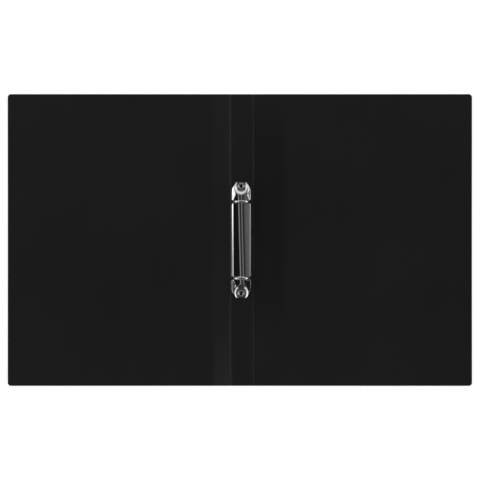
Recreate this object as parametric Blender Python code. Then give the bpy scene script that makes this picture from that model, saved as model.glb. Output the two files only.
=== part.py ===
"""A4 two-ring binder of black polypropylene sheet, lying open with its ring mechanism up.

Frame: +X runs across the open binder towards the back cover, +Y along the spine towards the
top edge, and +Z out of the inner faces. The origin is the centre of the spine's outer face,
and the outer faces lie on z = 0. The rings are closed and the covers are open flat.
"""

import math

import bmesh
import bpy
from mathutils import Matrix, Vector

MM = 0.001

# Sheet: two covers and a spine, hinged along thin creases that run the whole height
SHEET_THICKNESS = 0.9 * MM
SHEET_HEIGHT = 307.0 * MM
SPINE_WIDTH = 24.0 * MM  # crease to crease
FRONT_COVER_WIDTH = 233.7 * MM  # crease to free edge
BACK_COVER_WIDTH = 230.8 * MM
CORNER_RADIUS = 3.5 * MM
CORNER_STEPS = 6
CREASE_GAP = 0.4 * MM  # space between two panels at a crease
CREASE_REACH = 0.8 * MM  # distance from the crease over which a panel thins
CREASE_WEB = 0.2 * MM  # thickness left at the crease

# Housing plate: a sheet-steel channel with its open side down, dished at both ends
PLATE_LENGTH = 121.8 * MM
PLATE_WIDTH = 19.6 * MM
PLATE_END_WIDTH = 10.8 * MM
PLATE_END_ROUNDING = 8.5 * MM  # length over which the sides round in to the ends
PLATE_THICKNESS = 0.7 * MM
PLATE_BOTTOM = 1.2 * MM
PLATE_CROWN = 5.8 * MM  # top of the plate's outer skin
CROWN_RADIUS = 40.0 * MM
SHOULDER_RADIUS = 1.5 * MM
SHOULDER_STEPS = 3
LIP_REACH = 1.6 * MM  # how far the folded lips run in under the rails
DISH_SEAT_RADIUS = 4.85 * MM
DISH_SLOPE = 0.98  # rise over run of the dish's conical wall

# Rivets: a flat head in the spine's outer face, a hollow shank and a rolled flange
RIVET_SPACING = 112.8 * MM
RIVET_HEAD_RADIUS = 4.6 * MM
RIVET_HEAD_THICKNESS = 0.4 * MM
RIVET_SHANK_RADIUS = 2.2 * MM
RIVET_BORE_RADIUS = 1.6 * MM
RIVET_FLANGE_RADIUS = 3.8 * MM
RIVET_FLANGE_HEIGHT = 0.9 * MM
RIVET_SINK = 0.6 * MM  # depth of the pocket that takes the head
ROLL_STEPS = 6

# Rails: two steel blades under the plate that snap over centre and carry the rings
RAIL_LENGTH = 94.0 * MM
RAIL_WIDTH = 7.9 * MM  # pivot edge to inner edge
RAIL_THICKNESS = 0.9 * MM
RAIL_PIVOT_X = 8.2 * MM
RAIL_PIVOT_Z = 2.75 * MM
RAIL_TILT = math.radians(5.0)  # inner edges this far below level when the rings are shut

# Rings: steel wire halves, round above and narrowing a little towards the plate
RING_SPACING = 80.0 * MM
WIRE_RADIUS = 1.4 * MM
RING_RADIUS = 7.85 * MM  # wire centreline, above the ring's centre
RING_CENTRE_Z = 12.85 * MM
LEG_STEPS = 5
ARCH_STEPS = 9
WIRE_SIDES = 14
TIP_DEPTH = 0.45 * MM  # half the depth of the arrow-shaped joint between two halves
FOOT_FROM_PIVOT = 1.7 * MM
TENON_RADIUS = 0.8 * MM
STAKE_RADIUS = 1.5 * MM
STAKE_HEIGHT = 0.45 * MM
NOTCH_WIDTH = 3.9 * MM
NOTCH_INNER_X = 4.7 * MM  # inner end of the notches that the legs come out of

CLEARANCE = 0.3 * MM  # between a rivet and the holes it fills
SEAM = 0.2 * MM  # between faces that bear on each other
ROUND_STEPS = 32
SMALL_ROUND_STEPS = 20
BEYOND = 3.0 * MM  # how far a cutter runs past what it cuts

FRONT, BACK = -1, 1  # side of the spine, as the sign of X


def clear_scene():
    for thing in list(bpy.data.objects):
        bpy.data.objects.remove(thing, do_unlink=True)


def make_material(name, colour, roughness, metallic):
    material = bpy.data.materials.new(name)
    material.use_nodes = True
    shader = material.node_tree.nodes["Principled BSDF"]
    shader.inputs["Base Color"].default_value = (*colour, 1.0)
    shader.inputs["Roughness"].default_value = roughness
    shader.inputs["Metallic"].default_value = metallic
    return material


def add_object(name, bm, material=None, parent=None, smooth_angle=None):
    """Makes an object of bm, which holds world positions. The object sits on its parent."""
    bmesh.ops.recalc_face_normals(bm, faces=bm.faces)
    if parent:
        bm.transform(Matrix.Translation(-parent.location))
    mesh = bpy.data.meshes.new(name)
    bm.to_mesh(mesh)
    bm.free()
    if smooth_angle is not None:
        mesh.shade_smooth()
        mesh.set_sharp_from_angle(angle=smooth_angle)
    if material:
        mesh.materials.append(material)
    thing = bpy.data.objects.new(name, mesh)
    thing.parent = parent
    bpy.context.collection.objects.link(thing)
    return thing


def add_axis(name, x, z):
    """An empty on a joint's axis, which runs along Y. The moving pieces are parented to it."""
    axis = bpy.data.objects.new(name, None)
    axis.location = (x, 0.0, z)
    bpy.context.collection.objects.link(axis)
    return axis


def cut(target, cutter, operation="DIFFERENCE"):
    cutter.hide_render = True
    cutter.display_type = "WIRE"
    modifier = target.modifiers.new(cutter.name, "BOOLEAN")
    modifier.operation = operation
    modifier.object = cutter


def prism(outline, bottom, top):
    """A solid with an XY outline between two heights."""
    bm = bmesh.new()
    floor = bm.faces.new([bm.verts.new((x, y, bottom)) for x, y in outline])
    raised = bmesh.ops.extrude_face_region(bm, geom=[floor])["geom"]
    lift = [v for v in raised if isinstance(v, bmesh.types.BMVert)]
    bmesh.ops.translate(bm, verts=lift, vec=(0.0, 0.0, top - bottom))
    return bm


def turned(profile, centre_y, steps):
    """A solid of revolution about the vertical line at x = 0, y = centre_y.

    profile is a list of (radius, z) that starts and ends on the axis.
    """
    bm = bmesh.new()
    line = [bm.verts.new((radius, 0.0, z)) for radius, z in profile]
    edges = [bm.edges.new(pair) for pair in zip(line, line[1:])]
    bmesh.ops.spin(
        bm,
        geom=line + edges,
        cent=(0.0, 0.0, 0.0),
        axis=(0.0, 0.0, 1.0),
        angle=math.tau,
        steps=steps,
    )
    bmesh.ops.remove_doubles(bm, verts=bm.verts, dist=0.001 * MM)
    bm.transform(Matrix.Translation((0.0, centre_y, 0.0)))
    return bm


def loft(sections):
    """A solid through closed sections that have the same number of points."""
    bm = bmesh.new()
    loops = [[bm.verts.new(point) for point in section] for section in sections]
    for near, far in zip(loops, loops[1:]):
        for i in range(len(near)):
            j = (i + 1) % len(near)
            bm.faces.new((near[i], near[j], far[j], far[i]))
    bm.faces.new(loops[0])
    bm.faces.new(loops[-1])
    return bm


def arc(centre, radius, start, end, steps):
    """Points (x, y) along an arc. Angles are in degrees, counter-clockwise from +X."""
    angles = [math.radians(start + (end - start) * i / steps) for i in range(steps + 1)]
    return [
        (centre[0] + radius * math.cos(a), centre[1] + radius * math.sin(a)) for a in angles
    ]


# Sheet


def thin_towards_crease(bm, edge_x, crease_x):
    """Extrudes the panel's side face at edge_x up to the crease, and thins it on the way."""
    side = next(f for f in bm.faces if all(abs(v.co.x - edge_x) < 0.01 * MM for v in f.verts))
    grown = bmesh.ops.extrude_face_region(bm, geom=[side])["geom"]
    bmesh.ops.delete(bm, geom=[side], context="FACES_ONLY")
    middle = SHEET_THICKNESS / 2
    for vert in (v for v in grown if isinstance(v, bmesh.types.BMVert)):
        vert.co.x = crease_x
        vert.co.z = middle + (vert.co.z - middle) * CREASE_WEB / SHEET_THICKNESS


def make_cover(name, side, width, plastic, axis):
    """A flat panel with two rounded corners at its free edge and a thinned hinge edge."""
    crease_x = SPINE_WIDTH / 2
    corner_x = crease_x + width - CORNER_RADIUS
    corner_y = SHEET_HEIGHT / 2 - CORNER_RADIUS
    hinge_x = crease_x + CREASE_REACH
    outline = [(hinge_x, -SHEET_HEIGHT / 2)]
    outline += arc((corner_x, -corner_y), CORNER_RADIUS, -90, 0, CORNER_STEPS)
    outline += arc((corner_x, corner_y), CORNER_RADIUS, 0, 90, CORNER_STEPS)
    outline += [(hinge_x, SHEET_HEIGHT / 2)]
    bm = prism([(side * x, y) for x, y in outline], 0.0, SHEET_THICKNESS)
    thin_towards_crease(bm, side * hinge_x, side * (crease_x + CREASE_GAP / 2))
    return add_object(name, bm, plastic, axis)


def make_spine(plastic):
    """The middle panel, thinned at both creases, with a stepped hole for each rivet."""
    edge_x = SPINE_WIDTH / 2 - CREASE_REACH
    half_height = SHEET_HEIGHT / 2
    outline = [
        (-edge_x, -half_height),
        (edge_x, -half_height),
        (edge_x, half_height),
        (-edge_x, half_height),
    ]
    bm = prism(outline, 0.0, SHEET_THICKNESS)
    for side in (FRONT, BACK):
        crease_x = SPINE_WIDTH / 2 - CREASE_GAP / 2
        thin_towards_crease(bm, side * edge_x, side * crease_x)
    spine = add_object("spine", bm, plastic)
    pocket_radius = RIVET_HEAD_RADIUS + CLEARANCE
    hole_radius = RIVET_SHANK_RADIUS + CLEARANCE
    profile = [
        (0.0, -BEYOND),
        (pocket_radius, -BEYOND),
        (pocket_radius, RIVET_SINK),
        (hole_radius, RIVET_SINK),
        (hole_radius, BEYOND),
        (0.0, BEYOND),
    ]
    for end, label in ((1, "upper"), (-1, "lower")):
        bm = turned(profile, end * RIVET_SPACING / 2, ROUND_STEPS)
        cut(spine, add_object(f"spine_hole_{label}", bm))
    return spine


# Housing plate


def plate_half_width(y):
    """Half the plate's width at y: straight sides that round in towards its narrow ends."""
    straight = PLATE_LENGTH / 2 - PLATE_END_ROUNDING
    share = min(1.0, max(0.0, (abs(y) - straight) / PLATE_END_ROUNDING))
    return PLATE_WIDTH / 2 - (PLATE_WIDTH - PLATE_END_WIDTH) / 2 * share**2


def channel_section(y, inset):
    """The plate's outline across X at y, moved in by inset all round, as (x, y, z) points."""
    half = plate_half_width(y) - inset
    radius = SHOULDER_RADIUS - inset
    points = [(half, PLATE_BOTTOM + inset)]
    for step in range(SHOULDER_STEPS + 1):
        turn = math.pi / 2 * step / SHOULDER_STEPS
        x = half - radius + radius * math.cos(turn)
        crown = PLATE_CROWN - inset - x * x / (2 * CROWN_RADIUS)
        points.append((x, crown - radius + radius * math.sin(turn)))
    inner_x = half - radius
    for share in (0.6, 0.25):
        x = inner_x * share
        points.append((x, PLATE_CROWN - inset - x * x / (2 * CROWN_RADIUS)))
    points += [(-x, z) for x, z in reversed(points)]
    return [(x, y, z) for x, z in points]


def channel(inset, overrun):
    """The volume of the plate's outer skin, or with an inset, of the hollow under it."""
    half = PLATE_LENGTH / 2
    straight = half - PLATE_END_ROUNDING
    stations = [straight + PLATE_END_ROUNDING * share for share in (0.0, 0.25, 0.5, 0.75, 1.0)]
    stations = [-y for y in reversed(stations)] + stations
    sections = [channel_section(y, inset) for y in stations]
    if overrun:
        first = [(x, y - overrun, z) for x, y, z in sections[0]]
        last = [(x, y + overrun, z) for x, y, z in sections[-1]]
        sections = [first, *sections, last]
    return loft(sections)


def lip_slot_outline():
    """The open space between the plate's folded lips, seen from below."""
    half = PLATE_WIDTH / 2 - LIP_REACH
    narrow = PLATE_END_WIDTH / 2 - PLATE_THICKNESS
    straight = PLATE_LENGTH / 2 - PLATE_END_ROUNDING
    end = PLATE_LENGTH / 2 + BEYOND
    corner = [(half, straight), (narrow, PLATE_LENGTH / 2), (narrow, end)]
    right = [(x, -y) for x, y in reversed(corner)] + corner
    return right + [(-x, y) for x, y in reversed(right)]


def notch_outline(side, centre_y):
    """A notch that is open at the plate's side and round at its inner end."""
    half = NOTCH_WIDTH / 2
    outer = PLATE_WIDTH / 2 + BEYOND
    round_end = arc((NOTCH_INNER_X + half, 0.0), half, 90, 270, 8)
    points = round_end + [(outer, -half), (outer, half)]
    return [(side * x, centre_y + y) for x, y in points]


def dish_profiles():
    """The solid under the plate's dish, and the hollow above it with the rivet's hole."""
    seat_z = PLATE_BOTTOM + PLATE_THICKNESS
    top_z = PLATE_CROWN + BEYOND
    wall = PLATE_THICKNESS / math.sin(math.atan(DISH_SLOPE))
    hole_radius = RIVET_SHANK_RADIUS + CLEARANCE

    def cone_radius(z):
        return DISH_SEAT_RADIUS + (z - seat_z) / DISH_SLOPE

    body = [
        (0.0, -BEYOND),
        (cone_radius(PLATE_BOTTOM) + wall, -BEYOND),
        (cone_radius(PLATE_BOTTOM) + wall, PLATE_BOTTOM),
        (cone_radius(top_z) + wall, top_z),
        (0.0, top_z),
    ]
    hollow = [
        (0.0, -BEYOND),
        (hole_radius, -BEYOND),
        (hole_radius, seat_z),
        (DISH_SEAT_RADIUS, seat_z),
        (cone_radius(top_z), top_z),
        (0.0, top_z),
    ]
    return body, hollow


def make_housing_plate(steel):
    """A channel hollowed from below, dished round each rivet and notched for each leg."""
    plate = add_object("housing_plate", channel(0.0, 0.0), steel, smooth_angle=math.radians(35))
    hollow = add_object("plate_hollow", channel(PLATE_THICKNESS, BEYOND))
    lip_top = PLATE_BOTTOM + PLATE_THICKNESS
    slot = add_object("plate_lip_slot", prism(lip_slot_outline(), -BEYOND, lip_top + SEAM))
    cut(hollow, slot, "UNION")
    body_profile, hollow_profile = dish_profiles()
    dishes = []
    for end, label in ((1, "upper"), (-1, "lower")):
        rivet_y = end * RIVET_SPACING / 2
        body = add_object(f"dish_body_{label}", turned(body_profile, rivet_y, ROUND_STEPS))
        cut(hollow, body)
        bowl = add_object(f"dish_hollow_{label}", turned(hollow_profile, rivet_y, ROUND_STEPS))
        dishes.append(bowl)
    cut(plate, hollow)
    for bowl in dishes:
        cut(plate, bowl)
    for end, label in ((1, "upper"), (-1, "lower")):
        for side, hand in ((FRONT, "left"), (BACK, "right")):
            outline = notch_outline(side, end * RING_SPACING / 2)
            notch = prism(outline, -BEYOND, PLATE_CROWN + BEYOND)
            cut(plate, add_object(f"notch_{label}_{hand}", notch))
    return plate


# Rivets


def rivet_profile():
    """A blind tubular rivet: its head lies in the spine and its flange on the dish's seat."""
    flange_z = PLATE_BOTTOM + PLATE_THICKNESS + SEAM
    curl = (RIVET_FLANGE_RADIUS - RIVET_BORE_RADIUS) / 2
    middle = RIVET_BORE_RADIUS + curl
    floor = RIVET_SINK + SEAM
    turns = [math.pi * step / ROLL_STEPS for step in range(ROLL_STEPS + 1)]
    rolled = [
        (middle + curl * math.cos(turn), flange_z + RIVET_FLANGE_HEIGHT * math.sin(turn))
        for turn in turns
    ]
    return [
        (0.0, 0.0),
        (RIVET_HEAD_RADIUS, 0.0),
        (RIVET_HEAD_RADIUS, RIVET_HEAD_THICKNESS),
        (RIVET_SHANK_RADIUS, RIVET_HEAD_THICKNESS),
        (RIVET_SHANK_RADIUS, flange_z),
        *rolled,
        (RIVET_BORE_RADIUS, floor),
        (0.0, floor),
    ]


def make_rivets(steel):
    for end, label in ((1, "upper"), (-1, "lower")):
        bm = turned(rivet_profile(), end * RIVET_SPACING / 2, SMALL_ROUND_STEPS)
        add_object(f"rivet_{label}", bm, steel, smooth_angle=math.radians(40))


# Rails and rings


def make_rail(name, side, steel, axis):
    """A blade whose rounded outer edge turns on the axis, with a hole for each ring's foot."""
    half = RAIL_THICKNESS / 2
    profile = arc((0.0, 0.0), half, 90, 270, 6) + [(RAIL_WIDTH, -half), (RAIL_WIDTH, half)]
    ends = (-RAIL_LENGTH / 2, RAIL_LENGTH / 2)
    bm = loft([[(-side * x, y, z) for x, z in profile] for y in ends])
    rail = add_object(name, bm, steel)
    rail.parent = axis
    rail.rotation_euler = (0.0, -side * RAIL_TILT, 0.0)
    hole_profile = [
        (0.0, -BEYOND),
        (TENON_RADIUS + CLEARANCE, -BEYOND),
        (TENON_RADIUS + CLEARANCE, BEYOND),
        (0.0, BEYOND),
    ]
    for end, label in ((1, "upper"), (-1, "lower")):
        hole = add_object(
            f"{name}_hole_{label}", turned(hole_profile, end * RING_SPACING / 2, SMALL_ROUND_STEPS)
        )
        hole.data.transform(Matrix.Translation((-side * FOOT_FROM_PIVOT, 0.0, 0.0)))
        hole.parent = axis
        hole.rotation_euler = rail.rotation_euler
        cut(rail, hole)
    return rail


def ring_stations():
    """The front half's centreline from its staked end to its tip: (point, direction, radius).

    Points and directions are (x, z), the front half lying at negative x.
    """
    along = Vector((math.cos(RAIL_TILT), -math.sin(RAIL_TILT)))
    up = Vector((math.sin(RAIL_TILT), math.cos(RAIL_TILT)))
    foot = Vector((-RAIL_PIVOT_X, RAIL_PIVOT_Z)) + along * FOOT_FROM_PIVOT
    bearing = RAIL_THICKNESS / 2 + SEAM
    stations = [
        (foot - up * (bearing + STAKE_HEIGHT), up, STAKE_RADIUS * 0.8),
        (foot - up * (bearing + STAKE_HEIGHT * 0.6), up, STAKE_RADIUS),
        (foot - up * bearing, up, STAKE_RADIUS),
        (foot - up * bearing, up, TENON_RADIUS),
        (foot + up * bearing, up, TENON_RADIUS),
    ]
    shoulder = foot + up * bearing
    stations.append((shoulder, up, WIRE_RADIUS))
    lowest = math.acos(-shoulder.x / RING_RADIUS)
    leg_radius = (RING_CENTRE_Z - shoulder.y) / math.sin(lowest)
    for step in range(1, LEG_STEPS + 1):
        turn = lowest * (1 - step / LEG_STEPS)
        x = -RING_RADIUS * math.cos(turn)
        z = RING_CENTRE_Z - leg_radius * math.sin(turn)
        heading = Vector((-RING_RADIUS * math.sin(turn), leg_radius * math.cos(turn)))
        stations.append((Vector((x, z)), heading.normalized(), WIRE_RADIUS))
    for step in range(1, ARCH_STEPS + 1):
        turn = math.pi / 2 * step / ARCH_STEPS
        x = -RING_RADIUS * math.cos(turn)
        z = RING_CENTRE_Z + RING_RADIUS * math.sin(turn)
        heading = Vector((math.sin(turn), math.cos(turn)))
        stations.append((Vector((x, z)), heading, WIRE_RADIUS))
    return stations


def make_half_ring(name, side, centre_y, steel, axis):
    """Bent wire with a staked foot. The front half's tip is an arrow, the back half's a vee."""
    bm = bmesh.new()
    stations = ring_stations()
    loops = []
    for point, heading, radius in stations:
        out = Vector((-heading.y, heading.x))
        loop = []
        for k in range(WIRE_SIDES):
            turn = math.tau * k / WIRE_SIDES
            spot = point + out * radius * math.cos(turn)
            y = radius * math.sin(turn)
            loop.append(bm.verts.new((-side * spot.x, centre_y + y, spot.y)))
        loops.append(loop)
    for near, far in zip(loops, loops[1:]):
        for i in range(WIRE_SIDES):
            j = (i + 1) % WIRE_SIDES
            bm.faces.new((near[i], near[j], far[j], far[i]))
    bm.faces.new(loops[0])
    tip = loops[-1]
    for vert in tip:
        offset = abs(vert.co.y - centre_y) / WIRE_RADIUS
        vert.co.x = side * SEAM / 2 + TIP_DEPTH * (1 - 2 * offset)
    half = WIRE_SIDES // 2
    bm.faces.new(tip[: half + 1])
    bm.faces.new(tip[half:] + tip[:1])
    return add_object(name, bm, steel, axis, smooth_angle=math.radians(35))


def make_ring_side(hand, side, rail_steel, ring_steel):
    """A rail and the two half rings that stand on it, on the axis that they open about."""
    axis = add_axis(f"rail_{hand}_axis", side * RAIL_PIVOT_X, RAIL_PIVOT_Z)
    make_rail(f"rail_{hand}", side, rail_steel, axis)
    for end, label in ((1, "upper"), (-1, "lower")):
        make_half_ring(f"ring_{label}_{hand}", side, end * RING_SPACING / 2, ring_steel, axis)


def main():
    clear_scene()
    plastic = make_material("cover_plastic", (0.012, 0.012, 0.012), 0.42, 0.0)
    nickel = make_material("bright_nickel", (0.74, 0.74, 0.75), 0.12, 1.0)
    rail_steel = make_material("rail_steel", (0.52, 0.52, 0.54), 0.3, 1.0)
    covers = (("front_cover", FRONT, FRONT_COVER_WIDTH), ("back_cover", BACK, BACK_COVER_WIDTH))
    for name, side, width in covers:
        axis = add_axis(f"{name}_axis", side * SPINE_WIDTH / 2, SHEET_THICKNESS / 2)
        make_cover(name, side, width, plastic, axis)
    make_spine(plastic)
    make_housing_plate(nickel)
    make_rivets(nickel)
    make_ring_side("left", FRONT, rail_steel, nickel)
    make_ring_side("right", BACK, rail_steel, nickel)


main()
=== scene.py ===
"""Looks for the two-ring binder: fine meshes, node materials, a studio and the camera.

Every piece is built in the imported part's frame, in metres: +X across the open binder, +Y along
the spine towards the top edge, +Z out of the inner faces. Places come from the CAD nodes' boxes.
"""

import math

import bmesh
import bpy
import numpy as np
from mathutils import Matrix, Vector


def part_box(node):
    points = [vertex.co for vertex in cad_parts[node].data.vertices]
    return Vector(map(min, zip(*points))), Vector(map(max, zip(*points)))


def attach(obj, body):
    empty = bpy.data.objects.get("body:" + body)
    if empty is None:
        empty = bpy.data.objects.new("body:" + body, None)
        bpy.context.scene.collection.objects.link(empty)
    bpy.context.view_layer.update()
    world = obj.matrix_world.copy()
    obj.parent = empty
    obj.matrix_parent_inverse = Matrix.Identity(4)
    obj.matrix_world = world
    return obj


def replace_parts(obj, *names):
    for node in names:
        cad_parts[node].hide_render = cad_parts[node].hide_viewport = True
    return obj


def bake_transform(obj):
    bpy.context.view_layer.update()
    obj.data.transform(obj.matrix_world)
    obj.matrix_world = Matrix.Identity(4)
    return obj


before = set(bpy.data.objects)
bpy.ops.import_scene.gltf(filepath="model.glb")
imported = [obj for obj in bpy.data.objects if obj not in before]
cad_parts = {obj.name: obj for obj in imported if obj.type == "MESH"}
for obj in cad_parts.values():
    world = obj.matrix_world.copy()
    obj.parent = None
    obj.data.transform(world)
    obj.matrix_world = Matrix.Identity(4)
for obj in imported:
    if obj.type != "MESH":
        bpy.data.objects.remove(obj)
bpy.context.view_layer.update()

MM = 0.001
QUARTER = math.pi / 2

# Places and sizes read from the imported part
SPINE_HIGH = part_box("spine")[1]
FRONT_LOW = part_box("front_cover")[0]
BACK_LOW, BACK_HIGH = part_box("back_cover")
PLATE_LOW, PLATE_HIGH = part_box("housing_plate")
RING_LOW, RING_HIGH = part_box("ring_upper_left")
RIVET_LOW, RIVET_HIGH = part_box("rivet_upper")

SHEET = SPINE_HIGH.z
MIDDLE = SHEET / 2
HALF_HEIGHT = SPINE_HIGH.y
CREASE_X = (SPINE_HIGH.x + BACK_LOW.x) / 2
RING_Y = (RING_LOW.y + RING_HIGH.y) / 2
WIRE_RADIUS = (RING_HIGH.y - RING_LOW.y) / 2
RING_RADIUS = -RING_LOW.x - WIRE_RADIUS
RING_CENTRE_Z = RING_HIGH.z - WIRE_RADIUS - RING_RADIUS
RIVET_Y = (RIVET_LOW.y + RIVET_HIGH.y) / 2

# Sheet
CORNER_RADIUS = 3.5 * MM
CORNER_STEPS = 8
EDGE_ROUNDING = 0.2 * MM
EDGE_STEPS = 3
EDGE_SUPPORT = 1.8 * EDGE_ROUNDING  # distance in from the edge of the row that holds its rounding
EDGE_ZONE = 8.0 * MM  # width of the free edge's zone whose columns follow the corners
EDGE_ZONE_SHARES = (0.35, 0.65, 0.85, 0.93, 0.98)  # where those columns are across it
GRID_STEP = 6.0 * MM
GRID_START = 4.0 * MM  # distance from the crease line to the even part of a cover's grid
SPINE_COLUMNS = (7.5 * MM, 5.0 * MM, 2.5 * MM)
WEB_THICKNESS = 0.3 * MM
WEB_REACH = 0.45 * MM  # from the crease line to the end of its thin web
COVE_REACH = 1.1 * MM  # from the crease line to the sheet's full thickness
COVE_STEPS = 8
COVE_SUPPORT = COVE_REACH + 0.3 * MM
WEB_TUCK = 0.05 * MM  # how far the web runs into the sheets on both sides
WEB_STEPS = 8  # on each side of the crease line
WEB_INSET = 0.01 * MM  # how far its skins lie inside the sheets' skins there
BOW = 0.45 * MM  # how far a cover's middle stands off the table
CORNER_CURL = 0.7 * MM
FRONT_PHASE, BACK_PHASE = 0.4, 2.1  # so that the covers bow differently
WELT_Y = 146.5 * MM  # a faint raised line near the back cover's top edge
WELT_ENDS = (53.0 * MM, 152.0 * MM)
WELT_HALF_WIDTH = 0.7 * MM
WELT_HEIGHT = 0.07 * MM
# Painted light: a strip of the front cover beside its crease is painted paler, more so towards the
# bottom edge.
PAINTED_LIGHT_STRIP = (-26.0 * MM, -13.0 * MM, 6.0 * MM)  # low x, high x and fade, on the front cover
PAINTED_LIGHT_RISE = ((-90.0 * MM, -150.0 * MM), (0.14, 0.45))  # paler towards the bottom edge
# Painted shade: a strip of the back cover beside its crease is painted darker.
PAINTED_SHADE_STRIP = (13.0 * MM, 42.0 * MM, 8.0 * MM)  # the same in x for a deeper strip on the back cover
PAINTED_SHADE_REACH = (-58.0 * MM, 110.0 * MM, 45.0 * MM)  # and in y
PAINTED_SHADE_DEPTH = 0.14
# Painted light: the sheet is painted paler towards both short ends.
PAINTED_LIGHT_AT_ENDS = ((70.0 * MM, 150.0 * MM), (0.0, 0.05))  # paler towards both short ends
PLASTIC_IOR = 1.43
SHEET_GREYS = (0.01, 0.06)  # darkest and palest base colour
# Painted light and shade: the front crease's greys are painted paler, the back crease's darker.
FRONT_CREASE_PAINTED_LIGHT_GREYS = (0.032, 0.046)
BACK_CREASE_PAINTED_SHADE_GREYS = (0.013, 0.019)
HEAD_POCKET_RADIUS = 4.75 * MM
HEAD_POCKET_DEPTH = 0.55 * MM
SHANK_HOLE_RADIUS = 2.35 * MM
CUT_BEYOND = 2.0 * MM  # how far a cutter runs past what it cuts

# Housing plate
STEEL = 0.7 * MM  # thickness of the steel
DRAWN_SHARE = 0.4  # of that thickness, left where it is drawn down into the dishes
DRAWN_OVER = (42.5 * MM, 47.0 * MM)  # stretch of Y over which it thins
PLATE_END_HALF = 5.4 * MM
PLATE_TAPER = 0.63  # half width gained per length, from the end inwards
PLATE_TAPER_BLEND = 0.8 * MM
CROWN_RADIUS = 40.0 * MM
FLANK_WIDTH = 1.25 * MM  # the flat band along both sides of the crown
END_FLANK_WIDTH = 3.5 * MM  # its width beside the dishes
FLANK_WIDENING = (42.3 * MM, 47.5 * MM)  # stretch of Y over which it widens
FLANK_SLOPE = math.tan(math.radians(29.0))
FLANK_BLEND = 0.15 * MM
END_FLANK_BLEND = 0.5 * MM
END_FALL = 0.04  # slope of the crown down towards a dish
END_FALL_OVER = (43.0 * MM, 54.0 * MM)  # stretch of Y over which it falls
TWIST = 0.65  # slope across the plate per metre of its length, left by the press
LIP_REACH = 1.6 * MM
LIP_ENDING = (45.0 * MM, 48.0 * MM)  # stretch of Y over which a lip runs out
LIP_FOLD = 0.6 * MM
PLATE_EDGE_ROUNDING = 0.08 * MM
FINE_ROWS_FROM = 43.0 * MM
FINE_ROWS, MIDDLE_ROWS = 52, 36
CROWN_SHARE = 0.8  # of the half width, from the middle, has the coarser columns
CROWN_COLUMNS, FLANK_COLUMNS, WALL_STEPS, FOLD_STEPS = 20, 10, 5, 4
DISH_SEAT_RADIUS = 4.85 * MM
LOWER_DISH_SEAT_RADIUS = 5.6 * MM
DISH_SEAT_Z = PLATE_LOW.z + STEEL  # height of the flat floor that takes a rivet's flange
DISH_SLOPE = 0.98
DISH_RIM_BLEND = 0.5 * MM
DISH_SEAT_BLEND = 0.3 * MM
NOTCH_WIDTH = 3.9 * MM
NOTCH_INNER_X = 4.7 * MM
NOTCH_STEPS = 10
NOTCH_MARGIN = 1.5 * MM  # how far in from a notch the faces may be split by its cut
RIVET_HOLE_RADIUS = 2.5 * MM

# Rings
RAIL_TILT = math.radians(5.0)
RAIL_THICKNESS = 0.9 * MM
RAIL_EDGE_ROUNDING = 0.12 * MM
PIVOT = Vector((-8.2 * MM, 2.75 * MM))  # x and z of the left rail's axis
FOOT_FROM_PIVOT = 1.7 * MM
SEAM = 0.2 * MM
TIP_GAP = 0.3 * MM  # along X, between the tips of two shut halves
TENON_RADIUS = 0.8 * MM
STAKE_RADIUS = 1.5 * MM
STAKE_HEIGHT = 0.45 * MM
STAKE_DOME = ((0.0, 0.7), (0.25, 0.93), (0.55, 1.0), (1.0, 1.0))  # shares of its height and radius
SHOULDER_ROUNDING = 0.15 * MM  # of the wire's end, where it bears on the rail
TIP_DEPTH = 0.45 * MM  # half the depth of the arrow-shaped joint
TIP_CHAMFER = 0.36 * MM
WIRE_SIDES = 32
LEG_STEPS, ARCH_STEPS = 16, 30

# Rivets
FLANGE_RADIUS = 3.8 * MM
FLANGE_HEIGHT = 0.9 * MM
FLANGE_STEPS = 20
BORE_RADIUS = 1.6 * MM
BORE_FLOOR = 0.8 * MM  # z of the blind end of the bore
BORE_CORNER = 0.2 * MM
SHANK_RADIUS = 2.2 * MM
HEAD_THICKNESS = 0.4 * MM
HEAD_OUTER_ROUNDING = (0.15 * MM, 0.12 * MM)  # across and up
HEAD_INNER_ROUNDING = 0.05 * MM
FLANGE_SPLITS = 6  # the rolled flange's shallow creases
SPLIT_DEPTH = 0.09 * MM
LATHE_STEPS = 96


# Mesh helpers


def add_piece(name, bm, material, smooth_angle=35.0):
    """Puts a bmesh in the scene as a named piece, with its look."""
    bmesh.ops.recalc_face_normals(bm, faces=bm.faces)
    mesh = bpy.data.meshes.new(name)
    bm.to_mesh(mesh)
    bm.free()
    piece = bpy.data.objects.new(name, mesh)
    bpy.context.scene.collection.objects.link(piece)
    mesh.materials.append(material)
    mesh.shade_smooth()
    mesh.set_sharp_from_angle(angle=math.radians(smooth_angle))
    return piece


def apply_modifiers(piece, smooth_angle):
    """Swaps a piece's mesh for what its modifiers make of it."""
    evaluated = piece.evaluated_get(bpy.context.evaluated_depsgraph_get())
    mesh = bpy.data.meshes.new_from_object(evaluated)
    piece.modifiers.clear()
    piece.data = mesh
    mesh.shade_smooth()
    mesh.set_sharp_from_angle(angle=math.radians(smooth_angle))


def round_edges(piece, width, from_angle):
    """Rounds every edge that turns by more than from_angle degrees."""
    bevel = piece.modifiers.new("edges", "BEVEL")
    bevel.width = width
    bevel.segments = 2
    bevel.angle_limit = math.radians(from_angle)


def smoothstep(low, high, value):
    share = np.clip((value - low) / (high - low), 0.0, 1.0)
    return share * share * (3 - 2 * share)


def quarter(steps):
    """Angles from 0 to a quarter turn."""
    return [QUARTER * step / steps for step in range(steps + 1)]


def bridge(bm, near, far, closed):
    """Quads between two rows of vertices."""
    count = len(near)
    for i in range(count if closed else count - 1):
        j = (i + 1) % count
        bm.faces.new((near[i], near[j], far[j], far[i]))


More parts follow.
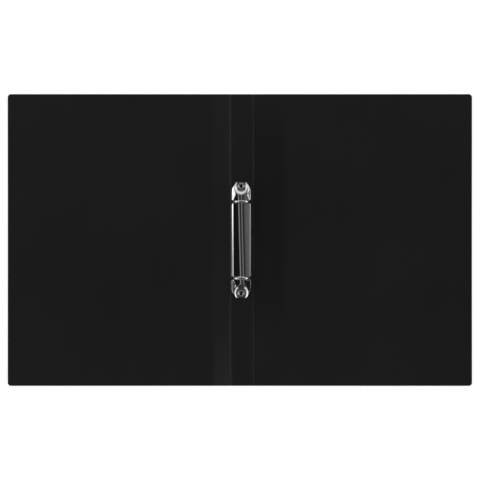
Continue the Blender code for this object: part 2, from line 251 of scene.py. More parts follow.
def slab(xs, ys, half_thickness, lift):
    """A closed thin sheet on a grid. xs, ys, half_thickness and lift are arrays [row, column]."""
    bm = bmesh.new()
    rows, columns = xs.shape
    skins = []
    for side in (1, -1):
        zs = MIDDLE + side * half_thickness + lift
        skin = [
            [bm.verts.new((xs[r, c], ys[r, c], zs[r, c])) for c in range(columns)]
            for r in range(rows)
        ]
        for near, far in zip(skin, skin[1:]):
            bridge(bm, near, far, closed=False)
        skins.append(skin)
    top, bottom = skins
    for row in (0, -1):
        bridge(bm, top[row], bottom[row], closed=False)
    for column in (0, -1):
        bridge(bm, [row[column] for row in top], [row[column] for row in bottom], closed=False)
    return bm


def lathe(profile, centre_y, radius_change=None):
    """A solid of revolution about a vertical line. profile is (radius, z), axis to axis."""
    bm = bmesh.new()
    loops = []
    for radius, z in profile[1:-1]:
        loop = []
        for step in range(LATHE_STEPS):
            turn = math.tau * step / LATHE_STEPS
            reach = radius + (radius_change(radius, z, turn) if radius_change else 0.0)
            spot = (reach * math.cos(turn), centre_y + reach * math.sin(turn), z)
            loop.append(bm.verts.new(spot))
        loops.append(loop)
    for near, far in zip(loops, loops[1:]):
        bridge(bm, near, far, closed=True)
    for loop, (_, z) in ((loops[0], profile[0]), (loops[-1], profile[-1])):
        pole = bm.verts.new((0.0, centre_y, z))
        for i in range(LATHE_STEPS):
            bm.faces.new((loop[i], loop[(i + 1) % LATHE_STEPS], pole))
    return bm


# Materials


class Graph:
    """The node tree of a material or a world, with short ways to add to it."""

    def __init__(self, owner):
        owner.use_nodes = True
        self.tree = owner.node_tree

    def add(self, kind, **settings):
        node = self.tree.nodes.new(kind)
        for key, value in settings.items():
            setattr(node, key, value)
        return node

    def link(self, source, target):
        self.tree.links.new(source, target)

    def maths(self, operation, first, second):
        node = self.add("ShaderNodeMath", operation=operation)
        for socket, value in zip(node.inputs, (first, second)):
            if isinstance(value, (int, float)):
                socket.default_value = value
            else:
                self.link(value, socket)
        return node.outputs["Value"]


class Nodes(Graph):
    """A material's Principled shader, with short ways to feed it."""

    def __init__(self, name, **inputs):
        self.material = bpy.data.materials.new(name)
        super().__init__(self.material)
        self.shader = self.tree.nodes["Principled BSDF"]
        for socket, value in inputs.items():
            self.shader.inputs[socket.replace("_", " ")].default_value = value
        self.place = self.add("ShaderNodeTexCoord").outputs["Object"]

    def stretched(self, scale):
        mapping = self.add("ShaderNodeMapping")
        mapping.inputs["Scale"].default_value = scale
        self.link(self.place, mapping.inputs["Vector"])
        return mapping.outputs["Vector"]

    def noise(self, per_metre, detail=3.0, roughness=0.5, vector=None):
        node = self.add("ShaderNodeTexNoise")
        node.inputs["Scale"].default_value = per_metre
        node.inputs["Detail"].default_value = detail
        node.inputs["Roughness"].default_value = roughness
        self.link(vector or self.place, node.inputs["Vector"])
        return node.outputs["Fac"]

    def span(self, value, source, target):
        """Maps a value from one (low, high) to another, and clamps it."""
        node = self.add("ShaderNodeMapRange")
        node.inputs["From Min"].default_value, node.inputs["From Max"].default_value = source
        node.inputs["To Min"].default_value, node.inputs["To Max"].default_value = target
        self.link(value, node.inputs["Value"])
        return node.outputs["Result"]

    def axes(self):
        """The X, Y and Z of a place on the piece."""
        node = self.add("ShaderNodeSeparateXYZ")
        self.link(self.place, node.inputs[0])
        return node.outputs

    def strip(self, value, low, high, soft):
        """1 between low and high, fading out over soft on both sides."""
        rise = self.span(value, (low - soft, low), (0.0, 1.0))
        return self.maths("MULTIPLY", rise, self.span(value, (high + soft, high), (0.0, 1.0)))

    def greys(self, value, dark, light):
        """A colour between two greys, each a number or a colour that is nearly grey."""
        node = self.add("ShaderNodeMix", data_type="RGBA")
        for socket, grey in ((6, dark), (7, light)):
            colour = grey if isinstance(grey, tuple) else (grey, grey, grey)
            node.inputs[socket].default_value = (*colour, 1.0)
        self.link(value, node.inputs[0])
        return node.outputs[2]

    def greys_by_noise(self, value, dark, light):
        """The same, by a noise whose middle range is stretched to run from dark to light."""
        return self.greys(self.span(value, (0.3, 0.7), (0.0, 1.0)), dark, light)

    def feed(self, socket, value):
        self.link(value, self.shader.inputs[socket])

    def bump(self, height, strength, depth):
        node = self.add("ShaderNodeBump")
        node.inputs["Strength"].default_value = strength
        node.inputs["Distance"].default_value = depth
        self.link(height, node.inputs["Height"])
        self.feed("Normal", node.outputs["Normal"])


def make_sheet_plastic():
    """Black polypropylene sheet: a fine matt grain, with gloss that drifts over the panel.

    Painted light and shade: a strip beside the front crease is painted paler, more so towards the bottom
    edge, a strip beside the back crease is painted darker, and the sheet is painted paler towards both
    short ends.
    """
    nodes = Nodes("black_sheet_plastic", IOR=PLASTIC_IOR)
    drift = nodes.noise(9.0, detail=2.0)
    grain = nodes.noise(2600.0, detail=2.0, roughness=0.6)
    flow = nodes.noise(60.0, detail=4.0, vector=nodes.stretched((1.0, 0.06, 1.0)))
    broad = nodes.maths("MULTIPLY", drift, 0.6)
    streaked = nodes.maths("MULTIPLY", flow, 0.4)
    colour = nodes.maths("ADD", broad, streaked)
    x, y, _ = nodes.axes()
    # Painted light towards both short ends.
    ends = nodes.span(nodes.maths("ABSOLUTE", y, 0.0), *PAINTED_LIGHT_AT_ENDS)
    # Painted light beside the front crease, and painted shade beside the back one.
    paler = nodes.maths("MULTIPLY", nodes.strip(x, *PAINTED_LIGHT_STRIP), nodes.span(y, *PAINTED_LIGHT_RISE))
    deeper = nodes.maths("MULTIPLY", nodes.strip(x, *PAINTED_SHADE_STRIP), nodes.strip(y, *PAINTED_SHADE_REACH))
    shade = nodes.maths("ADD", nodes.span(colour, (0.3, 0.7), (0.26, 0.37)), paler)
    shade = nodes.maths("ADD", shade, ends)
    shade = nodes.maths("SUBTRACT", shade, nodes.maths("MULTIPLY", deeper, PAINTED_SHADE_DEPTH))
    nodes.feed("Base Color", nodes.greys(shade, *SHEET_GREYS))
    drifting = nodes.span(drift, (0.3, 0.7), (0.37, 0.43))
    grainy = nodes.span(grain, (0.3, 0.7), (-0.03, 0.03))
    nodes.feed("Roughness", nodes.maths("ADD", drifting, grainy))
    nodes.bump(grain, 0.35, 0.012 * MM)
    return nodes.material


def make_crease_plastic(name, greys):
    """The same plastic where it is pressed thin, between two greys of its own: painted paler at the
    front crease as painted light, and darker at the back one as painted shade.
    """
    nodes = Nodes(name, IOR=PLASTIC_IOR)
    stretch = nodes.noise(45.0, detail=3.0, vector=nodes.stretched((20.0, 1.0, 1.0)))
    grain = nodes.noise(1800.0, detail=2.0)
    nodes.feed("Base Color", nodes.greys_by_noise(stretch, *greys))
    nodes.feed("Roughness", nodes.span(grain, (0.3, 0.7), (0.34, 0.46)))
    nodes.bump(grain, 0.25, 0.01 * MM)
    return nodes.material


def make_nickel():
    """Bright nickel plate: near mirror, with fine rubbing marks and a faint haze."""
    nodes = Nodes("bright_nickel_plate", Metallic=1.0)
    haze = nodes.noise(160.0, detail=3.0)
    rubs = nodes.noise(900.0, detail=3.0, vector=nodes.stretched((2.4, 0.12, 1.0)))
    pits = nodes.noise(2400.0, detail=1.0)
    nodes.feed("Base Color", nodes.greys_by_noise(haze, (0.76, 0.76, 0.765), 0.82))
    hazy = nodes.span(haze, (0.35, 0.7), (0.03, 0.07))
    rubbed = nodes.span(rubs, (0.5, 0.8), (0.0, 0.04))
    nodes.feed("Roughness", nodes.maths("ADD", hazy, rubbed))
    nodes.bump(nodes.maths("ADD", rubs, nodes.maths("MULTIPLY", pits, 0.3)), 0.12, 0.01 * MM)
    return nodes.material


def make_painted_bore_shade():
    """The hollow of an eyelet, painted near black as painted shade for its depth."""
    nodes = Nodes("eyelet_bore_painted_shade", IOR=1.5)
    stain = nodes.noise(1500.0, detail=3.0)
    nodes.feed("Base Color", nodes.greys_by_noise(stain, 0.004, 0.012))
    nodes.feed("Roughness", nodes.span(stain, (0.3, 0.7), (0.5, 0.7)))
    nodes.bump(stain, 0.3, 0.02 * MM)
    return nodes.material


def make_rail_steel():
    """Dull plated steel, brushed along the blade."""
    nodes = Nodes("brushed_rail_steel", Metallic=1.0)
    brushed = nodes.noise(2200.0, detail=3.0, vector=nodes.stretched((1.0, 0.03, 1.0)))
    stain = nodes.noise(70.0, detail=3.0)
    tarnish = nodes.span(stain, (0.35, 0.65), (0.0, 1.0))
    nodes.feed("Base Color", nodes.greys(tarnish, 0.46, (0.58, 0.58, 0.59)))
    nodes.feed("Roughness", nodes.span(brushed, (0.3, 0.7), (0.24, 0.42)))
    nodes.bump(brushed, 0.2, 0.01 * MM)
    return nodes.material


# Sheet


def crease_half_thickness(distance):
    """Half the sheet's thickness at a distance from the crease line."""
    share = smoothstep(WEB_REACH, COVE_REACH, distance)
    return WEB_THICKNESS / 2 + (SHEET - WEB_THICKNESS) / 2 * share


def edge_offsets():
    """(distance in from a plain edge, half thickness there) round the edge's rounding."""
    return [
        (EDGE_ROUNDING * (1 - math.cos(turn)), MIDDLE - EDGE_ROUNDING * (1 - math.sin(turn)))
        for turn in quarter(EDGE_STEPS)
    ]


def sheet_rows():
    """(y, half thickness) from the bottom edge to the top one, close together at the corners."""
    ends = [(HALF_HEIGHT - inset, half) for inset, half in edge_offsets()]
    support = HALF_HEIGHT - EDGE_SUPPORT
    turns = quarter(CORNER_STEPS)[:-1]
    ys = {HALF_HEIGHT - CORNER_RADIUS * (1 - math.sin(turn)) for turn in turns}
    ys = {y for y in ys if y < support} | {support}
    ys |= {WELT_Y + WELT_HALF_WIDTH * share for share in (-1.0, -0.5, 0.0, 0.5, 1.0)}
    count = int(HALF_HEIGHT / GRID_STEP)
    ys |= {(HALF_HEIGHT - EDGE_ZONE) * step / count for step in range(1, count + 1)}
    upper = [(y, MIDDLE) for y in sorted(ys)] + ends[::-1]
    return [(-y, half) for y, half in reversed(upper)] + [(0.0, MIDDLE)] + upper


def crease_columns():
    """Distances from the crease line over the cove beside its web."""
    width = COVE_REACH - WEB_REACH
    return [WEB_REACH + width * step / COVE_STEPS for step in range(COVE_STEPS + 1)]


def free_edge_x(edge_x, y):
    """Where the free edge is at y, between its two rounded corners."""
    past = max(0.0, abs(y) - (HALF_HEIGHT - CORNER_RADIUS))
    reach = math.sqrt(max(0.0, CORNER_RADIUS**2 - past**2))
    return edge_x - CORNER_RADIUS + reach


def cover_lift(x, y, edge_x, phase):
    """How far a cover stands off the table. It is flat at the crease and curls at the corners."""
    along = np.clip((x - CREASE_X) / (edge_x - CREASE_X), 0.0, 1.0)
    up = y / HALF_HEIGHT
    bow = BOW * np.sin(math.pi * along) ** 2 * (0.75 + 0.25 * np.cos(2.3 * up + phase))
    curl = CORNER_CURL * smoothstep(0.35, 1.0, along) * smoothstep(0.2, 1.0, np.abs(up))
    return bow + curl * (0.8 + 0.2 * np.sin(phase + up))


def make_cover_sheet(name, side, edge_x, plastic, phase):
    """A cover from its crease to its free edge. side is -1 at the left and 1 at the right."""
    rows = sheet_rows()
    fixed = [CREASE_X + distance for distance in crease_columns()]
    fixed.append(CREASE_X + COVE_SUPPORT)
    inner = CREASE_X + GRID_START
    zone = edge_x - EDGE_ZONE
    count = round((zone - inner) / GRID_STEP)
    fixed += [inner + (zone - inner) * step / count for step in range(count + 1)]
    rounding = edge_offsets()[::-1]
    xs, halves = [], []
    for y, row_half in rows:
        edge = free_edge_x(edge_x, y)
        last = edge - EDGE_ROUNDING
        columns = fixed + [zone + (last - zone) * share for share in EDGE_ZONE_SHARES]
        thickness = [min(row_half, crease_half_thickness(x - CREASE_X)) for x in columns]
        columns += [edge - inset for inset, _ in rounding]
        thickness += [min(row_half, half) for _, half in rounding]
        xs.append(columns)
        halves.append(thickness)
    xs, halves = np.array(xs), np.array(halves)
    ys = np.repeat([[y] for y, _ in rows], xs.shape[1], axis=1)
    lift = cover_lift(xs, ys, edge_x, phase)
    if side > 0:
        across = smoothstep(0.0, 1.0, 1 - np.abs(ys - WELT_Y) / WELT_HALF_WIDTH)
        start, end = WELT_ENDS
        along = smoothstep(start, start + GRID_STEP, xs) * smoothstep(-end, GRID_STEP - end, -xs)
        lift = lift + WELT_HEIGHT * across * along
    piece = add_piece(f"{name}_sheet", slab(side * xs, ys, halves, lift), plastic)
    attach(piece, name)
    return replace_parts(piece, name)


def make_spine_sheet(plastic):
    """The panel between the two creases, with its rivet holes."""
    rows = sheet_rows()
    outer = [CREASE_X - distance for distance in crease_columns()]
    inner = [CREASE_X - COVE_SUPPORT, *SPINE_COLUMNS]
    right = (outer + inner)[::-1]
    columns = np.array([-x for x in reversed(right)] + [0.0] + right)
    halves = crease_half_thickness(CREASE_X - np.abs(columns))
    row_halves = np.array([half for _, half in rows])
    xs = np.repeat([columns], len(rows), axis=0)
    ys = np.repeat([[y] for y, _ in rows], len(columns), axis=1)
    thickness = np.minimum(halves[None, :], row_halves[:, None])
    bm = slab(xs, ys, thickness, np.zeros_like(xs))
    piece = add_piece("spine_sheet", bm, plastic)
    cut_rivet_holes(piece)
    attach(piece, "spine_unit")
    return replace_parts(piece, "spine")


def cut_rivet_holes(sheet):
    """A stepped hole for each rivet: a pocket for its head and a hole for its shank."""
    profile = [
        (0.0, -CUT_BEYOND),
        (HEAD_POCKET_RADIUS, -CUT_BEYOND),
        (HEAD_POCKET_RADIUS, HEAD_POCKET_DEPTH),
        (SHANK_HOLE_RADIUS, HEAD_POCKET_DEPTH),
        (SHANK_HOLE_RADIUS, CUT_BEYOND),
        (0.0, CUT_BEYOND),
    ]
    cutters = []
    for centre_y in (RIVET_Y, -RIVET_Y):
        mesh = bpy.data.meshes.new("hole")
        bm = lathe(profile, centre_y)
        bmesh.ops.recalc_face_normals(bm, faces=bm.faces)
        bm.to_mesh(mesh)
        bm.free()
        cutter = bpy.data.objects.new("hole", mesh)
        bpy.context.scene.collection.objects.link(cutter)
        modifier = sheet.modifiers.new("hole", "BOOLEAN")
        modifier.object = cutter
        cutters.append(cutter)
    apply_modifiers(sheet, 35.0)
    for cutter in cutters:
        bpy.data.objects.remove(cutter)


def make_crease(name, side, plastic):
    """The thin web that bends between the spine and a cover."""
    rows = sheet_rows()
    reach = WEB_REACH + WEB_TUCK
    steps = range(-WEB_STEPS, WEB_STEPS + 1)
    columns = np.array([side * CREASE_X + reach * step / WEB_STEPS for step in steps])
    half = WEB_THICKNESS / 2 - WEB_INSET
    xs = np.repeat([columns], len(rows), axis=0)
    ys = np.repeat([[y] for y, _ in rows], len(columns), axis=1)
    halves = np.full_like(xs, half)
    piece = add_piece(name, slab(xs, ys, halves, np.zeros_like(xs)), plastic)
    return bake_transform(piece)


# Housing plate


def plate_half_width(y):
    """Half the plate's width at y. It is even along the middle and tapers to the ends."""
    tapered = PLATE_END_HALF + PLATE_TAPER * (PLATE_HIGH.y - abs(y))
    spare = PLATE_HIGH.x - tapered
    return (PLATE_HIGH.x + tapered - math.hypot(spare, PLATE_TAPER_BLEND)) / 2


def plate_top(x, y):
    """Height of the plate's outer skin over (x, y)."""
    twist = -x * y * TWIST
    seat_radius = DISH_SEAT_RADIUS if y > 0 else LOWER_DISH_SEAT_RADIUS
    x, y = abs(x), abs(y)
    start, end = FLANK_WIDENING
    widening = min(1.0, max(0.0, (y - start) / (end - start)))
    past = x - plate_half_width(y) + FLANK_WIDTH + (END_FLANK_WIDTH - FLANK_WIDTH) * widening
    past = (past + math.hypot(past, FLANK_BLEND + (END_FLANK_BLEND - FLANK_BLEND) * widening)) / 2
    top = PLATE_HIGH.z - (x - past) ** 2 / CROWN_RADIUS / 2 - past * FLANK_SLOPE + twist
    start, end = END_FALL_OVER
    top -= END_FALL * min(end - start, max(0.0, y - start))
    wall = (math.hypot(x, y - RIVET_Y) - seat_radius) * DISH_SLOPE
    wall = (wall + math.hypot(wall, DISH_SEAT_BLEND)) / 2 + DISH_SEAT_Z
    top = (top + wall - math.hypot(top - wall, DISH_RIM_BLEND)) / 2
    return max(DISH_SEAT_Z, top)


def plate_columns():
    """Shares of the half width, from -1 to 1, close together over the flanks."""
    crown = [CROWN_SHARE * step / CROWN_COLUMNS for step in range(1, CROWN_COLUMNS + 1)]
    rest = 1 - CROWN_SHARE
    flank = [CROWN_SHARE + rest * step / FLANK_COLUMNS for step in range(1, FLANK_COLUMNS + 1)]
    right = crown + flank
    return [-share for share in reversed(right)] + [0.0] + right


def plate_rows():
    """Y positions along the plate: fine over the dishes and coarser along the middle."""
    stretch = PLATE_HIGH.y - FINE_ROWS_FROM
    fine = [FINE_ROWS_FROM + stretch * step / FINE_ROWS for step in range(FINE_ROWS + 1)]
    middle = [FINE_ROWS_FROM * step / MIDDLE_ROWS for step in range(1, MIDDLE_ROWS)]
    upper = middle + fine
    return [-y for y in reversed(upper)] + [0.0] + upper


def plate_wall(half, edge_z, y):
    """(distance from the middle, z) down a side wall from under its upper edge, and along its lip."""
    lip = LIP_REACH * float(1 - smoothstep(*LIP_ENDING, abs(y)))
    fold = min(LIP_FOLD, lip / 2)
    wall_end = PLATE_LOW.z + fold
    drop = wall_end - edge_z
    wall = [(half, edge_z + drop * step / WALL_STEPS) for step in range(1, WALL_STEPS + 1)]
    wall += [
        (half - fold * (1 - math.cos(turn)), wall_end - fold * math.sin(turn))
        for turn in quarter(FOLD_STEPS)[1:]
    ]
    return wall + [(half - max(lip, fold), PLATE_LOW.z)]


def plate_section(y):
    """The outer skin's points across the plate at y, lip to lip."""
    half = plate_half_width(y)
    top = [(share * half, plate_top(share * half, y)) for share in plate_columns()]
    left = [(-x, z) for x, z in reversed(plate_wall(half, top[0][1], y))]
    right = plate_wall(half, top[-1][1], y)
    return [Vector((x, y, z)) for x, z in left + top + right]


def cut_notch(bm, side, centre_y):
    """Opens a slot with a round inner end, which a ring's leg comes out of."""
    half = NOTCH_WIDTH / 2
    centre_x = NOTCH_INNER_X + half
    turns = [QUARTER + math.pi * step / NOTCH_STEPS for step in range(NOTCH_STEPS + 1)]
    arc = [Vector((centre_x + half * math.cos(t), half * math.sin(t))) for t in turns]
    planes = [((a + b) / 2, -Vector((b - a).orthogonal())) for a, b in zip(arc, arc[1:])]
    planes += [(Vector((centre_x, end * half)), Vector((0.0, end))) for end in (1.0, -1.0)]
    planes = [
        (Vector((side * point.x, centre_y + point.y, 0.0)), Vector((side * normal.x, normal.y, 0.0)))
        for point, normal in planes
    ]
    middle = Vector((side * centre_x, centre_y, 0.0))
    planes = [(point, normal if normal.dot(middle - point) < 0 else -normal) for point, normal in planes]

    def near(face):
        spot = face.calc_center_median()
        return side * spot.x > NOTCH_INNER_X - NOTCH_MARGIN and abs(spot.y - centre_y) < NOTCH_WIDTH

    for point, normal in planes:
        faces = [face for face in bm.faces if near(face)]
        geometry = dict.fromkeys(faces)  # without repeats, and in the same order each run
        for face in faces:
            geometry.update(dict.fromkeys([*face.edges, *face.verts]))
        bmesh.ops.bisect_plane(bm, geom=list(geometry), dist=1e-7, plane_co=point, plane_no=normal)
    inside = [
        face
        for face in bm.faces
        if near(face)
        and all((face.calc_center_median() - point).dot(normal) < 0 for point, normal in planes)
    ]
    bmesh.ops.delete(bm, geom=inside, context="FACES")


def make_plate(nickel):
    """The pressed steel plate, with notches for the ring legs and holes for the rivets."""
    bm = bmesh.new()
    sections = [[bm.verts.new(point) for point in plate_section(y)] for y in plate_rows()]
    for near, far in zip(sections, sections[1:]):
        bridge(bm, near, far, closed=False)
    for centre_y in (RING_Y, -RING_Y):
        for side in (-1, 1):
            cut_notch(bm, side, centre_y)
    holes = [
        face
        for face in bm.faces
        if math.hypot(face.calc_center_median().x, abs(face.calc_center_median().y) - RIVET_Y)
        < RIVET_HOLE_RADIUS
    ]
    bmesh.ops.delete(bm, geom=holes, context="FACES")
    plate = add_piece("plate_shell", bm, nickel)
    highest = max(plate.data.polygons, key=lambda face: face.center.z)
    if highest.normal.z < 0:
        plate.data.flip_normals()
    drawn = plate.vertex_groups.new(name="thickness")
    for vertex in plate.data.vertices:
        thinning = float(smoothstep(*DRAWN_OVER, abs(vertex.co.y)))
        drawn.add([vertex.index], 1 - (1 - DRAWN_SHARE) * thinning, "REPLACE")
    shell = plate.modifiers.new("steel", "SOLIDIFY")
    shell.vertex_group = drawn.name
    shell.thickness = STEEL
    shell.offset = -1.0
    round_edges(plate, PLATE_EDGE_ROUNDING, 50.0)
    apply_modifiers(plate, 40.0)
    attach(plate, "spine_unit")
    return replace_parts(plate, "housing_plate")


# Rings and rivets


def ring_path():
    """The left half ring from its stake to its tip: (point, heading, radius), in x and z."""
    along = Vector((math.cos(RAIL_TILT), -math.sin(RAIL_TILT)))
    up = Vector((math.sin(RAIL_TILT), math.cos(RAIL_TILT)))
    foot = PIVOT + along * FOOT_FROM_PIVOT
    bearing = RAIL_THICKNESS / 2 + SEAM
    stake_low = foot - up * (bearing + STAKE_HEIGHT)
    shoulder = foot + up * bearing
    path = [
        (stake_low + up * STAKE_HEIGHT * height, up, STAKE_RADIUS * radius)
        for height, radius in STAKE_DOME
    ]
    path += [
        (foot - up * bearing, up, TENON_RADIUS),
        (shoulder, up, TENON_RADIUS),
        (shoulder, up, WIRE_RADIUS - SHOULDER_ROUNDING),
        (shoulder + up * SHOULDER_ROUNDING, up, WIRE_RADIUS),
    ]
    lowest = math.acos(-shoulder.x / RING_RADIUS)
    leg_radius = (RING_CENTRE_Z - shoulder.y) / math.sin(lowest)
    for step in range(2, LEG_STEPS + 1):
        turn = lowest * (1 - step / LEG_STEPS)
        point = Vector((-RING_RADIUS * math.cos(turn), RING_CENTRE_Z - leg_radius * math.sin(turn)))
        heading = Vector((-RING_RADIUS * math.sin(turn), leg_radius * math.cos(turn)))
        path.append((point, heading.normalized(), WIRE_RADIUS))
    for step in range(1, ARCH_STEPS):
        turn = QUARTER * step / ARCH_STEPS
        point = Vector((-RING_RADIUS * math.cos(turn), RING_CENTRE_Z + RING_RADIUS * math.sin(turn)))
        path.append((point, Vector((math.sin(turn), math.cos(turn))), WIRE_RADIUS))
    return path


def make_half_ring(label, hand, side, centre_y, body, nickel):
    """Bent wire with a staked foot. The left half ends in an arrow, the right half in a vee."""
    bm = bmesh.new()
    loops = []
    tip_z = RING_CENTRE_Z + RING_RADIUS
    for point, heading, radius in ring_path():
        out = Vector((-heading.y, heading.x))
        loop = []
        for k in range(WIRE_SIDES):
            turn = math.tau * k / WIRE_SIDES
            spot = point + out * radius * math.cos(turn)
            loop.append(bm.verts.new((-side * spot.x, centre_y + radius * math.sin(turn), spot.y)))
        loops.append(loop)
    for back, radius in ((TIP_CHAMFER, WIRE_RADIUS), (0.0, WIRE_RADIUS - TIP_CHAMFER)):
        loop = []
        for k in range(WIRE_SIDES):
            turn = math.tau * k / WIRE_SIDES
            y = radius * math.sin(turn)
            x = side * (TIP_GAP / 2 + back) + TIP_DEPTH * (1 - 2 * abs(y) / WIRE_RADIUS)
            loop.append(bm.verts.new((x, centre_y + y, tip_z + radius * math.cos(turn))))
        loops.append(loop)
    for near, far in zip(loops, loops[1:]):
        bridge(bm, near, far, closed=True)
    bm.faces.new(loops[0])
    tip, half = loops[-1], WIRE_SIDES // 2
    crest = [tip[0], tip[half]]
    bm.faces.new(tip[: half + 1])
    bm.faces.new(tip[half:] + [crest[0]])
    ring = add_piece(f"ring_{label}_{hand}_wire", bm, nickel, smooth_angle=40.0)
    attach(ring, body)
    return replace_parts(ring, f"ring_{label}_{hand}")


def rivet_profile():
    """(radius, z) from the middle of a rivet's head to the middle of its blind bore."""
    flange_z = DISH_SEAT_Z + SEAM / 2
    curl = (FLANGE_RADIUS - BORE_RADIUS) / 2
    middle = BORE_RADIUS + curl
    head = RIVET_HIGH.x
    across, up = HEAD_OUTER_ROUNDING
    rolled = [
        (middle + curl * math.cos(turn), flange_z + FLANGE_HEIGHT * math.sin(turn))
        for turn in (math.pi * step / FLANGE_STEPS for step in range(FLANGE_STEPS + 1))
    ]
    return [
        (0.0, RIVET_LOW.z),
        (head - across, RIVET_LOW.z),
        (head, RIVET_LOW.z + up),
        (head, HEAD_THICKNESS - HEAD_INNER_ROUNDING),
        (head - HEAD_INNER_ROUNDING, HEAD_THICKNESS),
        (SHANK_RADIUS, HEAD_THICKNESS),
        (SHANK_RADIUS, flange_z),
        *rolled,
        (BORE_RADIUS, BORE_FLOOR + BORE_CORNER),
        (BORE_RADIUS - BORE_CORNER, BORE_FLOOR),
        (0.0, BORE_FLOOR),
    ]


def flange_creases(radius, z, turn):
    """Shallow splits round the mouth of the bore."""
    high = float(smoothstep(DISH_SEAT_Z, DISH_SEAT_Z + FLANGE_HEIGHT, z))
    inner = 1 - float(smoothstep(BORE_RADIUS, FLANGE_RADIUS, radius))
    return SPLIT_DEPTH * high * inner * math.cos(FLANGE_SPLITS * turn)


def make_rivet(label, end, nickel, painted_bore_shade):
    """A tubular rivet, its mouth rolled over inside the plate. end is 1 or -1 along Y."""
    bm = lathe(rivet_profile(), end * RIVET_Y, flange_creases)
    rivet = add_piece(f"rivet_{label}_eyelet", bm, nickel, smooth_angle=40.0)
    rivet.data.materials.append(painted_bore_shade)
    mouth_z = DISH_SEAT_Z + FLANGE_HEIGHT / 2
    # Faces down the bore take the painted shade.
    for face in rivet.data.polygons:
        spot = face.center
        from_axis = math.hypot(spot.x, spot.y - end * RIVET_Y)
        if from_axis < BORE_RADIUS * 1.02 and SEAM < spot.z < mouth_z:
            face.material_index = 1
    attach(rivet, "spine_unit")
    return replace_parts(rivet, f"rivet_{label}")


def finish_rail(name, steel):
    """Keeps a rail's solid, with rounded edges and its own steel."""
    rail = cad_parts[name]
    rail.data.materials.clear()
    rail.data.materials.append(steel)
    round_edges(rail, RAIL_EDGE_ROUNDING, 40.0)


# Studio

FLOOR_REACH = 4.0  # from the middle to each side
FLOOR_STEPS = 8
FLOOR_Z = -0.1 * MM  # just under what the binder stands on
FLOOR_GLOW = 0.8
CAMERA_PLACE = (-1.3 * MM, 0.0, 1.8)
CAMERA_LENS = 128.22


def make_floor():
    """A pale floor, which glows a little so that it stays evenly bright."""
    nodes = Nodes("pale_floor", Roughness=0.9)
    cloud = nodes.noise(3.0, detail=2.0)
    nodes.feed("Base Color", nodes.greys(cloud, 0.9, 0.93))
    nodes.shader.inputs["Emission Color"].default_value = (1.0, 1.0, 1.0, 1.0)
    nodes.shader.inputs["Emission Strength"].default_value = FLOOR_GLOW
    bm = bmesh.new()
    places = [FLOOR_REACH * step / FLOOR_STEPS for step in range(-FLOOR_STEPS, FLOOR_STEPS + 1)]
    rows = [[bm.verts.new((x, y, FLOOR_Z)) for x in places] for y in places]
    for near, far in zip(rows, rows[1:]):
        bridge(bm, near, far, closed=False)
    mesh = bpy.data.meshes.new("floor")
    bm.to_mesh(mesh)
    bm.free()
    mesh.materials.append(nodes.material)
    floor = bpy.data.objects.new("floor", mesh)
    bpy.context.scene.collection.objects.link(floor)


class Tent(Graph):
    """The world's brightness by direction, as a sum of soft panels and bands."""

    def __init__(self):
        self.world = bpy.data.worlds.new("studio")
        super().__init__(self.world)
        self.tree.nodes.clear()
        place = self.add("ShaderNodeTexCoord")
        parts = self.add("ShaderNodeSeparateXYZ")
        self.link(place.outputs["Generated"], parts.inputs[0])
        self.x, self.y, self.z = parts.outputs

    def rise(self, value, start, end):
        """Smoothly up from 0 to 1 as value goes from start to end."""
        node = self.add("ShaderNodeMapRange", interpolation_type="SMOOTHSTEP")
        node.inputs["From Min"].default_value = start
        node.inputs["From Max"].default_value = end
        self.link(value, node.inputs["Value"])
        return node.outputs["Result"]

    def window(self, value, low, high, soft):
        """1 between low and high, with an edge of width soft outside each."""
        rise = self.rise(value, low - soft, low)
        return self.maths("MULTIPLY", rise, self.rise(value, high + soft, high))

    def profile(self, value, stops):
        """Brightness by the tilt from straight up towards value. stops are (degrees, brightness)."""
        turn = self.maths("ARCTAN2", value, self.z)
        span = self.add("ShaderNodeMapRange")
        span.inputs["From Min"].default_value = -QUARTER
        span.inputs["From Max"].default_value = QUARTER
        self.link(turn, span.inputs["Value"])
        ramp = self.add("ShaderNodeValToRGB")
        elements = ramp.color_ramp.elements
        brightest = max(brightness for _, brightness in stops)
        for index, (degrees, brightness) in enumerate(stops):
            element = elements[index] if index < 2 else elements.new(1.0)
            element.position = (degrees + 90) / 180
            share = brightness / brightest
            element.color = (share, share, share, 1.0)
        self.link(span.outputs["Result"], ramp.inputs["Fac"])
        return self.maths("MULTIPLY", ramp.outputs["Color"], brightest)

    def panel(self, towards, aside, panel):
        """A panel's brightness, its stops running towards one side and its window aside from it."""
        stops, window = panel
        return self.maths("MULTIPLY", self.profile(towards, stops), self.window(aside, *window))

    def total(self, parts):
        """The sum of several brightnesses."""
        whole = parts[0]
        for part in parts[1:]:
            whole = self.maths("ADD", whole, part)
        return whole

    def finish(self, brightness):
        """Lights the scene with brightness, and shows the camera an even backdrop."""
        tent = self.add("ShaderNodeBackground")
        self.link(brightness, tent.inputs["Strength"])
        plain = self.add("ShaderNodeBackground")
        plain.inputs["Color"].default_value = (BACKDROP, BACKDROP, BACKDROP, 1.0)
        mix = self.add("ShaderNodeMixShader")
        self.link(self.add("ShaderNodeLightPath").outputs["Is Camera Ray"], mix.inputs["Fac"])
        self.link(tent.outputs["Background"], mix.inputs[1])
        self.link(plain.outputs["Background"], mix.inputs[2])
        self.link(mix.outputs["Shader"], self.add("ShaderNodeOutputWorld").inputs["Surface"])
        bpy.context.scene.world = self.world


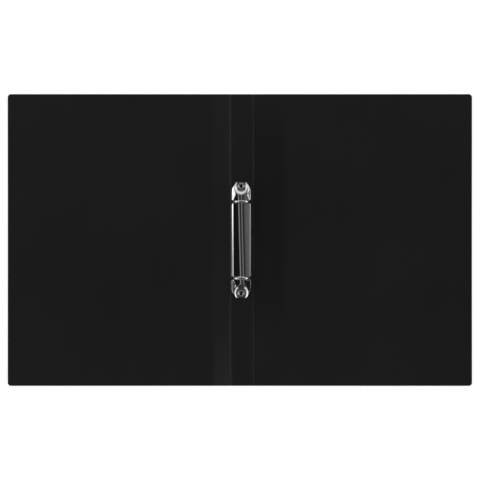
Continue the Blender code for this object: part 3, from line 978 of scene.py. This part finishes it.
# Each panel is (stops, window). The stops are (degrees from straight up, brightness), negative to
# the left or the lower end. The window is how far it reaches the other way: (low, high, soft).
ACROSS = (  # the fine stripes along the plate's crown
    [
        (-60, 0.1), (-40, 0.02), (-24, 0.01), (-7.0, 0.01), (-5.8, 0.31), (-3.6, 0.31),
        (-2.6, 0.03), (2.0, 0.03), (3.0, 0.26), (4.8, 0.26), (6.0, 0.015),
    ],
    (-0.4, 0.4, 0.3),
)
RIGHT_GREYS = (  # the grey right half of the crown
    [(8, 0.0), (11, 0.07), (14, 0.11), (22, 0.14), (34, 0.19), (62, 0.27)],
    (-0.03, 0.6, 0.06),
)
LEFT_PANEL = (  # the bright corner beside the upper dish
    [(-49, 0.0), (-47, 1.8), (-38, 1.8), (-33, 1.2), (-30, 0.4), (-26, 0.0)],
    (-0.16, 0.4, 0.1),
)
LEFT_EDGE = (  # what the long flank at the left shows, fading out along it
    [(-58.6, 0.0), (-57.8, 0.3), (-57, 1.3), (-56.4, 1.9), (-52.5, 1.9), (-51, 0.2), (-47, 0.0)],
    (-0.03, 0.38, 0.08),
)
RIGHT_PANEL = (  # the bright line at the other side of that dish
    [(49, 0.0), (52, 1.8), (58.5, 1.8), (60.5, 0.0)],
    (0.16, 0.5, 0.06),
)
LOW_PANELS = (  # the bright spots on the rings' shoulders
    [
        (-80, 0.0), (-77, 2.6), (-70, 2.6), (-67, 0.0),
        (69, 0.0), (72, 2.6), (77, 2.6), (80, 0.0),
    ],
    (-0.42, 0.42, 0.12),
)
ALONG = (  # what curves towards the ends
    [(-90, 0.0), (-60, 0.06), (-30, 0.0), (25, 0.0), (45, 0.5), (66, 0.5), (72, 0.1), (90, 0.0)],
    (-0.4, 0.4, 0.3),
)
HORIZON = 0.95
HORIZON_LEAN = 0.07  # brighter at the right than at the left
HORIZON_TOP = (0.3, 0.14)  # a direction's z where its light starts, and where it is full
HORIZON_AT_LOWER_END = 0.03
LOWER_END = (-0.96, -0.78)  # a direction's y up to which it is dark, and where it is full
BACKDROP = 1.0


def make_studio():
    """A soft tent: a bright panel at the left, greys at the right, and a pale horizon."""
    tent = Tent()
    across = (ACROSS, RIGHT_GREYS, LEFT_PANEL, LEFT_EDGE, RIGHT_PANEL, LOW_PANELS)
    lit = [tent.panel(tent.x, tent.y, panel) for panel in across]
    lit.append(tent.panel(tent.y, tent.x, ALONG))
    sideways = tent.maths("ADD", tent.maths("MULTIPLY", tent.x, HORIZON_LEAN), HORIZON)
    facing = tent.maths("MULTIPLY", tent.rise(tent.y, *LOWER_END), sideways)
    pale = tent.maths("ADD", facing, HORIZON_AT_LOWER_END)
    lit.append(tent.maths("MULTIPLY", tent.rise(tent.z, *HORIZON_TOP), pale))
    tent.finish(tent.total(lit))


def make_camera():
    """Straight above the open binder, square to its spine."""
    data = bpy.data.cameras.new("camera")
    data.lens = CAMERA_LENS
    data.sensor_width = 36.0
    camera = bpy.data.objects.new("camera", data)
    camera.location = CAMERA_PLACE
    bpy.context.scene.collection.objects.link(camera)
    bpy.context.scene.camera = camera


def main():
    sheet_plastic = make_sheet_plastic()
    front_crease = make_crease_plastic("front_crease_painted_light_plastic", FRONT_CREASE_PAINTED_LIGHT_GREYS)
    back_crease = make_crease_plastic("back_crease_painted_shade_plastic", BACK_CREASE_PAINTED_SHADE_GREYS)
    nickel = make_nickel()
    painted_bore_shade = make_painted_bore_shade()
    rail_steel = make_rail_steel()
    make_cover_sheet("front_cover", -1, -FRONT_LOW.x, sheet_plastic, FRONT_PHASE)
    make_cover_sheet("back_cover", 1, BACK_HIGH.x, sheet_plastic, BACK_PHASE)
    make_spine_sheet(sheet_plastic)
    make_crease("front_crease", -1, front_crease)
    make_crease("back_crease", 1, back_crease)
    make_plate(nickel)
    for label, end in (("upper", 1), ("lower", -1)):
        make_rivet(label, end, nickel, painted_bore_shade)
        for hand, side in (("left", -1), ("right", 1)):
            make_half_ring(label, hand, side, end * RING_Y, f"{hand}_rail_unit", nickel)
    for name in ("rail_left", "rail_right"):
        finish_rail(name, rail_steel)
    make_floor()
    make_studio()
    make_camera()
    bpy.context.scene.view_settings.view_transform = "Standard"


main()
